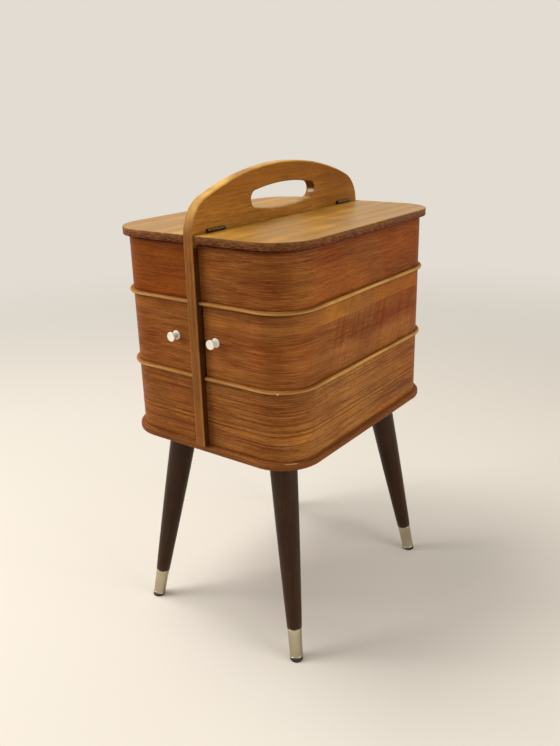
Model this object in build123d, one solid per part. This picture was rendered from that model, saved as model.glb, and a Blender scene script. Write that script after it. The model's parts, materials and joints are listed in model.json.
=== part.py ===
from build123d import *
import math
import os

# Sewing table: a two-sided box with an arched carrying panel, on four splayed legs.
# X runs across the two halves, Y from front to rear, Z up from the floor. Sizes are in millimetres.

# Box outline
BODY_WIDTH = 282.0  # outer wall to outer wall
BODY_DEPTH = 360.0  # front wall to rear wall
CORNER_RADIUS = 50.0  # outer face of a bent corner
WALL = 6.0  # bent plywood
INNER_BOARD = 6.0  # straight board that closes a tray beside the panel

# Heights of the tiers
BASE_HEIGHT = 287.0  # floor to the underside of the base board
BASE_THICKNESS = 10.0
BOTTOM_WALL = 90.0
MIDDLE_WALL = 92.0
TOP_WALL = 71.0
TRAY_FLOOR = 5.0  # its edge shows as a bead
LID_THICKNESS = 10.0
LID_GAP = 0.4  # between a closed lid and the tray under it

# Overhangs past the box walls, and rounded edges
BASE_OVERHANG = 6.5
BASE_ROUND = 3.5
BEAD_OVERHANG = 5.0
BEAD_FLAT = 0.6  # flat left in the middle of a rounded bead
LID_OVERHANG = 8.0
LID_TOP_ROUND = 1.0
LID_UNDER_ROUND = 0.8

# Centre panel
PANEL_THICKNESS = 14.0
PANEL_OVERHANG = 10.7
ARCH_RISE = 72.8  # lid tops to crown
CROWN_RADIUS = 446.0
SHOULDER_RADIUS = 48.0
PANEL_ROUND = 2.0

# Handle hole in the panel
HANDLE_LENGTH = 146.0
HANDLE_HEIGHT = 32.5
HANDLE_END_RADIUS = 11.0
HANDLE_GRIP = 27.0  # wood left above the hole
HANDLE_ROUND = 1.0

# Swing pivot in the rear outer corner
PIVOT_TURN = 74.0  # degrees round the corner, from the side wall towards the rear wall
PIVOT_COVER = 4.6  # wood between the rod and the bent wall
ROD_RADIUS = 3.0
BLOCK_MARGIN = 14.0  # corner block, from the rod's axis to its two free faces
TOP_BLOCK_HEIGHT = 30.0
WASHER_RADIUS = 8.0
WASHER_THICKNESS = 0.9
SWING_CLEARANCE = 0.4  # least gap between a swinging tray and the panel

# Lid hinges
HINGE_LENGTH = 33.0
HINGE_INSET = 32.5  # middle of a hinge, inside the front or rear wall
KNUCKLE_RADIUS = 2.4
HINGE_PIN_RADIUS = 1.2
LEAF_THICKNESS = 1.0
LEAF_GAP = 0.4  # between the two leaves of a closed hinge
LEAF_UNDER = 0.6  # leaf end above the underside of the lid
KNUCKLE_GAP = 0.2
HINGE_SCREW_SPACING = 20.0
HINGE_SCREW_RADIUS = 1.0
HINGE_SCREW_HEAD_RADIUS = 1.9
LID_SCREW_LENGTH = 8.0

# Knobs on the middle trays
KNOB_FROM_PANEL_RIGHT = 20.6
KNOB_FROM_PANEL_LEFT = 31.3
KNOB_ABOVE_FLOOR = 47.5
KNOB_FLANGE_RADIUS = 6.2
KNOB_NECK_RADIUS = 4.2
KNOB_HEAD_RADIUS = 6.6
KNOB_LENGTH = 12.0
KNOB_FLANGE = 1.6
KNOB_HEAD = 2.4
KNOB_EDGE = 0.8
KNOB_SCREW_RADIUS = 2.0
KNOB_SCREW_HEAD_RADIUS = 4.0
KNOB_SCREW_HEAD = 2.6
KNOB_SCREW_GRIP = 8.0

# Legs
LEG_TOP_INSET_X = 55.0  # leg axis at the base board, inside the side wall
LEG_TOP_INSET_Y = 54.0
FOOT_INSET_X = 10.0  # leg axis at the floor
FOOT_INSET_Y = 14.0
LEG_TOP_RADIUS = 19.0
LEG_TOP_EDGE = 1.5
FERRULE_TOP_RADIUS = 9.8
FERRULE_BOTTOM_RADIUS = 8.8
FERRULE_WALL = 0.8
FERRULE_LENGTH = 41.0
FERRULE_LIFT = 5.0  # floor to the ferrule's end, along the leg
GLIDE_PLUG = 7.0  # part of the glide inside the ferrule
GLIDE_EDGE = 0.8

# Leg plates and bolts
PLATE_SIZE = 60.0
PLATE_CORNER = 6.0
PLATE_THICKNESS = 2.0
BOSS_RADIUS = 13.0
LEG_CLEARANCE = 0.5  # between the plate and the nearest edge of the leg
BOLT_RADIUS = 4.0
BOLT_IN_LEG = 35.0
PLATE_SCREW_MARGIN = 8.0  # screw axis to the plate's edge
PLATE_SCREW_RADIUS = 1.7
PLATE_SCREW_HEAD_RADIUS = 3.2
PLATE_SCREW_COVER = 2.5  # wood left above the screws

# Screws through the base into the panel, and through the inner boards into the panel
BASE_SCREW_SPACING = 90.0
BASE_SCREW_COUNT = 4
BASE_SCREW_RADIUS = 2.2
BASE_SCREW_HEAD_RADIUS = 4.2
BASE_SCREW_LENGTH = 40.0
TRAY_SCREW_SPACING = 100.0
TRAY_SCREW_COUNT = 3
TRAY_SCREW_RADIUS = 1.7
TRAY_SCREW_HEAD_RADIUS = 3.3
SCREW_END_GAP = 1.0  # wood between a screw and the middle of the panel

# Fits
RUNNING_FIT = 0.07  # radial, on a shaft that turns
TIGHT_FIT = 0.02  # radial, on a shaft or screw that is held
GLUE_GAP = 0.1
RUNNING_GAP = 0.1  # above the washers
SLOT_WIDTH = 0.8  # screwdriver slots
SLOT_DEPTH = 0.6

# Heights worked out from the stack of tiers
base_top = BASE_HEIGHT + BASE_THICKNESS
tier_gap = WASHER_THICKNESS + RUNNING_GAP
bottom_wall_top = base_top + BOTTOM_WALL
middle_floor = bottom_wall_top + tier_gap
middle_wall = middle_floor + TRAY_FLOOR
middle_wall_top = middle_wall + MIDDLE_WALL
top_floor = middle_wall_top + tier_gap
top_wall = top_floor + TRAY_FLOOR
top_wall_top = top_wall + TOP_WALL
lid_under = top_wall_top + LID_GAP
lid_top = lid_under + LID_THICKNESS
crown = lid_top + ARCH_RISE
handle_middle = crown - HANDLE_GRIP - HANDLE_HEIGHT / 2

# Places worked out across the box
panel_face = PANEL_THICKNESS / 2
panel_half = BODY_DEPTH / 2 + PANEL_OVERHANG
pivot_offset = CORNER_RADIUS - WALL - PIVOT_COVER - ROD_RADIUS
pivot_x = BODY_WIDTH / 2 - CORNER_RADIUS + pivot_offset * math.cos(math.radians(PIVOT_TURN))
pivot_y = BODY_DEPTH / 2 - CORNER_RADIUS + pivot_offset * math.sin(math.radians(PIVOT_TURN))
pivot_reach = pivot_x - panel_face
pivot_rear = BODY_DEPTH / 2 + BEAD_OVERHANG - pivot_y
swing_gap = pivot_reach - math.sqrt((pivot_reach - SWING_CLEARANCE) ** 2 - pivot_rear**2)
tray_inner = panel_face + swing_gap
lid_inner = panel_face + 2 * LEAF_THICKNESS + LEAF_GAP
hinge_x = panel_face + KNUCKLE_RADIUS + KNUCKLE_GAP
hinge_z = lid_top + KNUCKLE_RADIUS + KNUCKLE_GAP
rod_top = top_wall + TOP_BLOCK_HEIGHT

# Leg axis of the right rear leg, from the floor up to the base board
foot = Vector(BODY_WIDTH / 2 - FOOT_INSET_X, BODY_DEPTH / 2 - FOOT_INSET_Y, 0)
leg_top = Vector(BODY_WIDTH / 2 - LEG_TOP_INSET_X, BODY_DEPTH / 2 - LEG_TOP_INSET_Y, BASE_HEIGHT)
leg_length = (leg_top - foot).length
leg_plane = Plane(origin=foot, z_dir=leg_top - foot)
leg_slant = math.acos(BASE_HEIGHT / leg_length)
leg_drop = PLATE_THICKNESS + LEG_CLEARANCE + LEG_TOP_RADIUS * math.sin(leg_slant)
leg_seat = leg_length - leg_drop / math.cos(leg_slant)
ferrule_top = FERRULE_LIFT + FERRULE_LENGTH
glide_top = FERRULE_LIFT + GLIDE_PLUG


def half_plan(inner, outset):
    """Plan of one half: straight along the panel, rounded at its two outer corners."""
    outer = BODY_WIDTH / 2 + outset
    plan = Pos((inner + outer) / 2, 0) * Rectangle(outer - inner, BODY_DEPTH + 2 * outset)
    corners = plan.vertices().group_by(Axis.X)[-1]
    return fillet(corners, CORNER_RADIUS + outset)


def slab(plan, bottom, height):
    """A flat plan raised to a board between two heights."""
    return extrude(Pos(0, 0, bottom) * plan, height)


def outer_edges(board, inner, last):
    """Edges round the top (last) or bottom face of a half board, without the one beside the panel."""
    face = board.faces().sort_by(Axis.Z)[-1 if last else 0]
    return [edge for edge in face.edges() if edge.center().X > inner + WALL]


def upright(radius, bottom, top):
    """A round bar on the pivot's axis."""
    return Pos(pivot_x, pivot_y, bottom) * extrude(Circle(radius), top - bottom)


def turned(points):
    """A solid turned about Z from a closed outline of (radius, height) points."""
    return revolve(Plane.XZ * make_face(Polyline(*points, close=True)), Axis.Z)


def screw(head_radius, shank_radius, length, grow=0.0, slotted=True):
    """A countersunk screw pointing down, its flat head at the origin. grow widens it to cut its hole."""
    cone = head_radius - shank_radius
    body = turned(
        [
            (0, 0),
            (head_radius + grow, 0),
            (shank_radius + grow, -cone),
            (shank_radius + grow, -length - grow),
            (0, -length - grow),
        ]
    )
    if slotted:
        body -= Box(3 * head_radius, SLOT_WIDTH, 2 * min(SLOT_DEPTH, cone / 2))
    return body


def screws(places, *sizes):
    """The same screw at several places."""
    return [place * screw(*sizes) for place in places]


def screw_holes(places, *sizes):
    """What the screws at those places cut out of the wood or metal."""
    return [place * screw(*sizes, grow=TIGHT_FIT, slotted=False) for place in places]


def centred(count, spacing):
    """Evenly spaced places, centred on zero."""
    return [(index - (count - 1) / 2) * spacing for index in range(count)]


def left(shape):
    """The same piece on the left half."""
    return mirror(shape, about=Plane.YZ)


def save(name, *solids):
    """Writes one piece, or one group of like pieces."""
    shape = solids[0] if len(solids) == 1 else Compound(children=list(solids))
    export_step(shape, f"parts/{name}.step")


def save_both(name, *solids):
    """Writes a piece of the right half and its mirror image."""
    save(f"{name}_right", *solids)
    save(f"{name}_left", *[left(solid) for solid in solids])


# Screw places
base_screws = [
    Pos(0, y, BASE_HEIGHT) * Rot(180, 0, 0) for y in centred(BASE_SCREW_COUNT, BASE_SCREW_SPACING)
]
base_screw = (BASE_SCREW_HEAD_RADIUS, BASE_SCREW_RADIUS, BASE_SCREW_LENGTH)
tray_screw_x = panel_face + INNER_BOARD
tray_screw_z = top_wall + TOP_WALL / 2
tray_screws = [
    Pos(tray_screw_x, y, tray_screw_z) * Rot(0, 90, 0)
    for y in centred(TRAY_SCREW_COUNT, TRAY_SCREW_SPACING)
]
tray_screw = (TRAY_SCREW_HEAD_RADIUS, TRAY_SCREW_RADIUS, INNER_BOARD + panel_face - SCREW_END_GAP)
panel_screw_length = LEAF_THICKNESS + panel_face - SCREW_END_GAP
panel_leaf_screw = (HINGE_SCREW_HEAD_RADIUS, HINGE_SCREW_RADIUS, panel_screw_length)
lid_leaf_screw = (HINGE_SCREW_HEAD_RADIUS, HINGE_SCREW_RADIUS, LID_SCREW_LENGTH)
hinge_middles = (HINGE_INSET - BODY_DEPTH / 2, BODY_DEPTH / 2 - HINGE_INSET)
hinge_screw_y = [y + step for y in hinge_middles for step in centred(2, HINGE_SCREW_SPACING)]
hinge_screw_z = lid_under + LID_THICKNESS / 2
panel_leaf_screws = [
    Pos(panel_face + LEAF_THICKNESS, y, hinge_screw_z) * Rot(0, 90, 0) for y in hinge_screw_y
]
lid_leaf_screws = [
    Pos(lid_inner - LEAF_THICKNESS, y, hinge_screw_z) * Rot(0, -90, 0) for y in hinge_screw_y
]
plate_screw_step = PLATE_SIZE - 2 * PLATE_SCREW_MARGIN
plate_screws = [
    Pos(leg_top.X + x, leg_top.Y + y, BASE_HEIGHT - PLATE_THICKNESS) * Rot(180, 0, 0)
    for x in centred(2, plate_screw_step)
    for y in centred(2, plate_screw_step)
]
plate_screw_length = PLATE_THICKNESS + BASE_THICKNESS - PLATE_SCREW_COVER
plate_screw = (PLATE_SCREW_HEAD_RADIUS, PLATE_SCREW_RADIUS, plate_screw_length)


def four_corners(shapes):
    """The same pieces at the right rear, left rear, right front and left front legs."""
    rear = list(shapes) + [left(shape) for shape in shapes]
    return rear + [mirror(shape, about=Plane.XZ) for shape in rear]


def base_board():
    """Board under both halves, with holes for the screws into the panel and of the leg plates."""
    plan = RectangleRounded(
        BODY_WIDTH + 2 * BASE_OVERHANG, BODY_DEPTH + 2 * BASE_OVERHANG, CORNER_RADIUS + BASE_OVERHANG
    )
    board = slab(plan, BASE_HEIGHT, BASE_THICKNESS)
    rims = board.faces().sort_by(Axis.Z)[0].edges() + board.faces().sort_by(Axis.Z)[-1].edges()
    board = fillet(rims, BASE_ROUND)
    holes = screw_holes(base_screws, *base_screw) + four_corners(screw_holes(plate_screws, *plate_screw))
    return board - holes


def arch_outline():
    """Front view of the panel: straight sides, rounded shoulders and a shallow crown."""
    crown_middle = crown - CROWN_RADIUS
    reach = panel_half - SHOULDER_RADIUS
    rise = math.sqrt((CROWN_RADIUS - SHOULDER_RADIUS) ** 2 - reach**2)
    shoulder_z = crown_middle + rise
    lean = math.degrees(math.atan2(rise, reach))
    sides = Polyline(
        (-panel_half, shoulder_z), (-panel_half, base_top), (panel_half, base_top), (panel_half, shoulder_z)
    )
    right_shoulder = CenterArc((reach, shoulder_z), SHOULDER_RADIUS, 0, lean)
    top = CenterArc((0, crown_middle), CROWN_RADIUS, lean, 180 - 2 * lean)
    left_shoulder = CenterArc((-reach, shoulder_z), SHOULDER_RADIUS, 180 - lean, lean)
    return make_face(sides + right_shoulder + top + left_shoulder)


def handle_oval():
    """Oval of four arcs: two tight ends joined by a shallow arc above and below."""
    end = HANDLE_LENGTH / 2 - HANDLE_END_RADIUS
    half = HANDLE_HEIGHT / 2
    shallow = (end**2 + half**2 - HANDLE_END_RADIUS**2) / (HANDLE_HEIGHT - 2 * HANDLE_END_RADIUS)
    lean = math.degrees(math.atan2(shallow - half, end))
    over = CenterArc((0, half - shallow), shallow, lean, 180 - 2 * lean)
    under = CenterArc((0, shallow - half), shallow, 180 + lean, 180 - 2 * lean)
    right_end = CenterArc((end, 0), HANDLE_END_RADIUS, -lean, 2 * lean)
    left_end = CenterArc((-end, 0), HANDLE_END_RADIUS, 180 - lean, 2 * lean)
    return make_face(over + left_end + under + right_end)


def centre_panel():
    """Upright panel with the handle hole, eased edges and the holes of its screws."""
    board = extrude(Plane.YZ * arch_outline(), PANEL_THICKNESS / 2, both=True)
    rims = [edge for edge in board.faces().group_by(Axis.X)[0].edges() if edge.center().Z > base_top]
    rims += [edge for edge in board.faces().group_by(Axis.X)[-1].edges() if edge.center().Z > base_top]
    board = fillet(rims, PANEL_ROUND)
    opening = Plane.YZ * (Pos(0, handle_middle) * handle_oval())
    board -= extrude(opening, PANEL_THICKNESS / 2, both=True)
    sides = board.faces().filter_by(Axis.X)
    hole_rims = [edge for side in sides for wire in side.inner_wires() for edge in wire.edges()]
    board = fillet(hole_rims, HANDLE_ROUND)
    drilled = screw_holes(tray_screws, *tray_screw) + screw_holes(panel_leaf_screws, *panel_leaf_screw)
    holes = drilled + [left(hole) for hole in drilled] + screw_holes(base_screws, *base_screw)
    return board - holes


def bent_wall(inner, bottom, height):
    """Wall bent round three sides, open beside the panel."""
    ring = half_plan(inner, 0) - half_plan(inner - WALL, -WALL)
    return slab(ring, bottom, height)


def tray_floor(inner, bottom, bore):
    """Floor whose rounded edge stands out past the walls as a bead, bored for the pivot rod."""
    board = slab(half_plan(inner, BEAD_OVERHANG), bottom, TRAY_FLOOR)
    rims = outer_edges(board, inner, False) + outer_edges(board, inner, True)
    board = fillet(rims, (TRAY_FLOOR - BEAD_FLAT) / 2)
    return board - upright(bore, bottom, bottom + TRAY_FLOOR)


def inner_board(inner, bottom, height):
    """Straight board between the front and rear ends of a tray's wall."""
    plan = Pos(inner + INNER_BOARD / 2, 0) * Rectangle(INNER_BOARD, BODY_DEPTH - 2 * WALL)
    return slab(plan, bottom, height)


def corner_block(bottom, height, bore):
    """Block that fills the rear outer corner round the pivot rod."""
    room = half_plan(panel_face, -WALL - GLUE_GAP)
    near_x = pivot_x - BLOCK_MARGIN
    near_y = pivot_y - BLOCK_MARGIN
    cover = Pos(near_x, near_y) * Rectangle(BODY_WIDTH, BODY_DEPTH, align=(Align.MIN, Align.MIN))
    return slab(room & cover, bottom, height) - upright(bore, bottom, bottom + height)


def lid():
    """Lid over the top tray, with softened outer edges and holes for its hinge screws."""
    board = slab(half_plan(lid_inner, LID_OVERHANG), lid_under, LID_THICKNESS)
    board = fillet(outer_edges(board, lid_inner, True), LID_TOP_ROUND)
    board = fillet(outer_edges(board, lid_inner, False), LID_UNDER_ROUND)
    return board - screw_holes(lid_leaf_screws, *lid_leaf_screw)


def along_hinge(radius, start, length):
    """A round bar on the hinge's axis, from a distance along Y."""
    return Pos(hinge_x, start, hinge_z) * Rot(-90, 0, 0) * extrude(Circle(radius), length)


def leaf_plate(near, middle):
    """Flat plate of one hinge leaf, from the bottom of the lid's edge up to the hinge's axis."""
    bottom = lid_under + LEAF_UNDER
    return Pos(near, middle, bottom) * Box(
        LEAF_THICKNESS, HINGE_LENGTH, hinge_z - bottom, align=(Align.MIN, Align.CENTER, Align.MIN)
    )


def knuckles(middle, outer):
    """Start and length of the two outer knuckles, or of the middle one, with a gap between them."""
    third = HINGE_LENGTH / 3
    start = middle - HINGE_LENGTH / 2
    if outer:
        return [(start, third), (start + 2 * third, third)]
    return [(start + third + KNUCKLE_GAP, third - 2 * KNUCKLE_GAP)]


def hinge_leaf(middle, outer):
    """One leaf with its knuckles: the panel leaf has the outer two, the lid leaf the middle one."""
    near = panel_face if outer else lid_inner - LEAF_THICKNESS
    bore = HINGE_PIN_RADIUS + (TIGHT_FIT if outer else RUNNING_FIT)
    leaf = leaf_plate(near, middle)
    for start, length in knuckles(middle, not outer):
        leaf -= along_hinge(KNUCKLE_RADIUS + KNUCKLE_GAP, start - KNUCKLE_GAP, length + 2 * KNUCKLE_GAP)
    for start, length in knuckles(middle, outer):
        leaf += along_hinge(KNUCKLE_RADIUS, start, length)
    leaf -= along_hinge(bore, middle - HINGE_LENGTH, 2 * HINGE_LENGTH)
    if outer:
        return leaf - screw_holes(panel_leaf_screws, *panel_leaf_screw)
    return leaf - screw_holes(lid_leaf_screws, *lid_leaf_screw)


def hinge_pin(middle):
    """Pin through the three knuckles."""
    return along_hinge(HINGE_PIN_RADIUS, middle - HINGE_LENGTH / 2, HINGE_LENGTH)


def knob():
    """Spool-shaped knob pointing up from its flange, with a bore for its screw."""
    head_start = KNOB_LENGTH - KNOB_HEAD
    body = turned(
        [
            (0, 0),
            (KNOB_FLANGE_RADIUS, 0),
            (KNOB_FLANGE_RADIUS, KNOB_FLANGE),
            (KNOB_NECK_RADIUS, (KNOB_FLANGE + head_start) / 2),
            (KNOB_HEAD_RADIUS, head_start),
            (KNOB_HEAD_RADIUS, KNOB_LENGTH),
            (0, KNOB_LENGTH),
        ]
    )
    rims = [edge for edge in body.edges().filter_by(GeomType.CIRCLE) if edge.radius > KNOB_NECK_RADIUS]
    shown = [edge for edge in rims if edge.center().Z > KNOB_EDGE]
    body = fillet(shown, KNOB_EDGE)
    return body - extrude(Circle(KNOB_SCREW_RADIUS + TIGHT_FIT), KNOB_SCREW_GRIP + TIGHT_FIT)


def knob_screw():
    """Pan-head screw through the tray's wall into the knob."""
    head = Pos(0, 0, -WALL - KNOB_SCREW_HEAD) * extrude(Circle(KNOB_SCREW_HEAD_RADIUS), KNOB_SCREW_HEAD)
    head = fillet(head.edges().sort_by(Axis.Z)[0], KNOB_SCREW_HEAD / 2)
    head -= Pos(0, 0, -WALL - KNOB_SCREW_HEAD) * Box(
        3 * KNOB_SCREW_HEAD_RADIUS, SLOT_WIDTH, 2 * SLOT_DEPTH
    )
    shank = Pos(0, 0, -WALL) * extrude(Circle(KNOB_SCREW_RADIUS), WALL + KNOB_SCREW_GRIP)
    return head + shank


def knob_place(from_panel):
    """Where a knob of the right half stands on the front of the middle tier, pointing forward."""
    return Pos(panel_face + from_panel, -BODY_DEPTH / 2, middle_wall + KNOB_ABOVE_FLOOR) * Rot(90, 0, 0)


def knobbed_wall(from_panel):
    """Middle tray wall of the right half, with the hole of its knob's screw."""
    wall = bent_wall(tray_inner, middle_wall, MIDDLE_WALL)
    drill = Pos(0, 0, -WALL) * extrude(Circle(KNOB_SCREW_RADIUS + TIGHT_FIT), WALL)
    return wall - knob_place(from_panel) * drill


def on_leg(shape):
    """A piece modelled upright on the leg's axis, put in place on the right rear leg."""
    return leg_plane.location * shape


def leg():
    """Tapered leg with a spigot for the ferrule and a hole for the hanger bolt."""
    spigot_top = FERRULE_TOP_RADIUS - FERRULE_WALL - TIGHT_FIT
    spigot_end = FERRULE_BOTTOM_RADIUS - FERRULE_WALL - TIGHT_FIT
    body = turned(
        [
            (0, glide_top),
            (spigot_end, glide_top),
            (spigot_top, ferrule_top),
            (FERRULE_TOP_RADIUS, ferrule_top),
            (LEG_TOP_RADIUS, leg_seat),
            (0, leg_seat),
        ]
    )
    body = fillet(body.edges().sort_by(Axis.Z)[-1], LEG_TOP_EDGE)
    hole = Pos(0, 0, leg_seat - BOLT_IN_LEG) * extrude(Circle(BOLT_RADIUS + TIGHT_FIT), BOLT_IN_LEG)
    return on_leg(body - hole)


def ferrule():
    """Thin tapered metal sleeve on the foot of the leg."""
    return on_leg(
        turned(
            [
                (FERRULE_BOTTOM_RADIUS - FERRULE_WALL, FERRULE_LIFT),
                (FERRULE_BOTTOM_RADIUS, FERRULE_LIFT),
                (FERRULE_TOP_RADIUS, ferrule_top),
                (FERRULE_TOP_RADIUS - FERRULE_WALL, ferrule_top),
            ]
        )
    )


def glide():
    """Foot plugged into the ferrule, cut flat at the floor."""
    plug = FERRULE_BOTTOM_RADIUS - FERRULE_WALL - TIGHT_FIT
    tread = Pos(0, 0, -FERRULE_LIFT) * extrude(Circle(FERRULE_BOTTOM_RADIUS), 2 * FERRULE_LIFT)
    stem = Pos(0, 0, FERRULE_LIFT) * extrude(Circle(plug), GLIDE_PLUG)
    block = 4 * FERRULE_BOTTOM_RADIUS
    ground = Pos(foot.X, foot.Y) * Box(block, block, block, align=(Align.CENTER, Align.CENTER, Align.MAX))
    body = on_leg(tread + stem) - ground
    return fillet(body.faces().sort_by(Axis.Z)[0].edges(), GLIDE_EDGE)


def hanger_bolt(grow=0.0):
    """Bolt from the leg up into the plate's boss."""
    bottom = leg_seat - BOLT_IN_LEG
    top = leg_length - PLATE_THICKNESS
    return on_leg(Pos(0, 0, bottom) * extrude(Circle(BOLT_RADIUS + grow), top - bottom))


def leg_plate():
    """Steel plate on the base board with a slanted boss that the leg is drawn up against."""
    plate = Pos(leg_top.X, leg_top.Y, BASE_HEIGHT - PLATE_THICKNESS) * extrude(
        RectangleRounded(PLATE_SIZE, PLATE_SIZE, PLATE_CORNER), PLATE_THICKNESS
    )
    boss = on_leg(Pos(0, 0, leg_seat) * extrude(Circle(BOSS_RADIUS), BOSS_RADIUS))
    block = 4 * BOSS_RADIUS
    over = Pos(leg_top.X, leg_top.Y, BASE_HEIGHT) * Box(
        block, block, block, align=(Align.CENTER, Align.CENTER, Align.MIN)
    )
    plate = plate + (boss - over)
    return plate - hanger_bolt(TIGHT_FIT) - screw_holes(plate_screws, *plate_screw)


def box_pieces():
    """Base, panel and the fixed and swinging trays."""
    tight = ROD_RADIUS + TIGHT_FIT
    running = ROD_RADIUS + RUNNING_FIT
    save("base_board", base_board())
    save("centre_panel", centre_panel())
    save("base_screws", *screws(base_screws, *base_screw))
    save_both("bottom_box_wall", bent_wall(panel_face, base_top, BOTTOM_WALL))
    save_both("bottom_corner_block", corner_block(base_top, BOTTOM_WALL, tight))
    save("middle_tray_wall_right", knobbed_wall(KNOB_FROM_PANEL_RIGHT))
    save("middle_tray_wall_left", left(knobbed_wall(KNOB_FROM_PANEL_LEFT)))
    save_both("middle_tray_floor", tray_floor(tray_inner, middle_floor, running))
    save_both("middle_tray_inner_board", inner_board(tray_inner, middle_wall, MIDDLE_WALL))
    save_both("middle_corner_block", corner_block(middle_wall, MIDDLE_WALL, running))
    save_both("top_tray_wall", bent_wall(panel_face, top_wall, TOP_WALL))
    save_both("top_tray_floor", tray_floor(panel_face, top_floor, tight))
    board = inner_board(panel_face, top_wall, TOP_WALL)
    save_both("top_tray_inner_board", board - screw_holes(tray_screws, *tray_screw))
    save_both("top_corner_block", corner_block(top_wall, TOP_BLOCK_HEIGHT, tight))
    fixings = screws(tray_screws, *tray_screw)
    save("tray_screws", *fixings, *[left(fixing) for fixing in fixings])


def pivot_pieces():
    """Rods that the middle trays swing on, and the washers that carry them."""
    save_both("pivot_rod", upright(ROD_RADIUS, base_top, rod_top))
    washer = upright(WASHER_RADIUS, bottom_wall_top, bottom_wall_top + WASHER_THICKNESS)
    washer -= upright(ROD_RADIUS + TIGHT_FIT, bottom_wall_top, middle_floor)
    save_both("pivot_washer", washer)


def lid_pieces():
    """Lids and their hinges."""
    save_both("lid", lid())
    save_both("hinge_panel_leaves", *[hinge_leaf(y, True) for y in hinge_middles])
    save_both("hinge_lid_leaves", *[hinge_leaf(y, False) for y in hinge_middles])
    save_both("hinge_pins", *[hinge_pin(y) for y in hinge_middles])
    save_both("hinge_panel_screws", *screws(panel_leaf_screws, *panel_leaf_screw))
    save_both("hinge_lid_screws", *screws(lid_leaf_screws, *lid_leaf_screw))


def knob_pieces():
    """Knobs of the middle trays and their screws."""
    right_place = knob_place(KNOB_FROM_PANEL_RIGHT)
    left_place = knob_place(KNOB_FROM_PANEL_LEFT)
    for piece, shape in (("knob", knob()), ("knob_screw", knob_screw())):
        save(f"{piece}_right", right_place * shape)
        save(f"{piece}_left", left(left_place * shape))


def leg_pieces():
    """Four legs, with what is on them and what holds them."""
    names = ("rear_right", "rear_left", "front_right", "front_left")
    for piece, shape in (("leg", leg()), ("ferrule", ferrule()), ("glide", glide())):
        for name, solid in zip(names, four_corners([shape])):
            save(f"{piece}_{name}", solid)
    save("leg_plates", *four_corners([leg_plate()]))
    save("leg_bolts", *four_corners([hanger_bolt()]))
    save("leg_plate_screws", *four_corners(screws(plate_screws, *plate_screw)))


os.makedirs("parts", exist_ok=True)
box_pieces()
pivot_pieces()
lid_pieces()
knob_pieces()
leg_pieces()
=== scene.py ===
import bpy
import bmesh
import json
import math
import numpy as np
from mathutils import Matrix, Vector

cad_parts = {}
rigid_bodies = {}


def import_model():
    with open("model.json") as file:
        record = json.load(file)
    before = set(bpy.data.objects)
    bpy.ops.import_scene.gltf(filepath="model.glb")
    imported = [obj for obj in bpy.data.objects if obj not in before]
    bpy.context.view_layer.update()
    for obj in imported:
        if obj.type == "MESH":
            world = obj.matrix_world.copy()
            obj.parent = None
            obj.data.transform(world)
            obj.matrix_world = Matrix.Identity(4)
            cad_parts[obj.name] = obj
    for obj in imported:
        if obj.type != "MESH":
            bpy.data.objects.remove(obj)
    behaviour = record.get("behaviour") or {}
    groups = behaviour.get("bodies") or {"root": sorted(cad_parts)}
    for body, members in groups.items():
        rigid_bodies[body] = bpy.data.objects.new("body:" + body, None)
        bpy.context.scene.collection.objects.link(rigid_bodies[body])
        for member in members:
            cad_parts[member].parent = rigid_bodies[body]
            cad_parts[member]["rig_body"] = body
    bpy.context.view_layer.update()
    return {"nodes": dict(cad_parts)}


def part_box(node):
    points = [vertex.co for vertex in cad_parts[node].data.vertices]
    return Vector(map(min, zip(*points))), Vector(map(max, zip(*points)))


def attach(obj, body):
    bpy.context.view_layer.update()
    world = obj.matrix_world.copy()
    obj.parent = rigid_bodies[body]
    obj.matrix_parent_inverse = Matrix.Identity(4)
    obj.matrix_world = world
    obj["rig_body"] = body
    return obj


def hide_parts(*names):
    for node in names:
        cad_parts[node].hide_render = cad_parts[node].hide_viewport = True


# Sewing table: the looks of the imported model, in metres, in its own frame.
# Sizes in the pieces' dictionaries are in millimetres, colours are sRGB hex.

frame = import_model()
mm = 0.001
quarter = math.pi / 2
halves = {"right": 1, "left": -1}


# Tools for meshes

mergeGap = 1e-6  # metres within which points become one
intoScene = bpy.context.scene.collection.objects.link
roundSteps = 7  # points over a rounded edge
shelfShares = np.array([1, 0.35, 0.1])  # rows on a flat face beside a round, as shares of the shelf
shelfRows = len(shelfShares)


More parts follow.
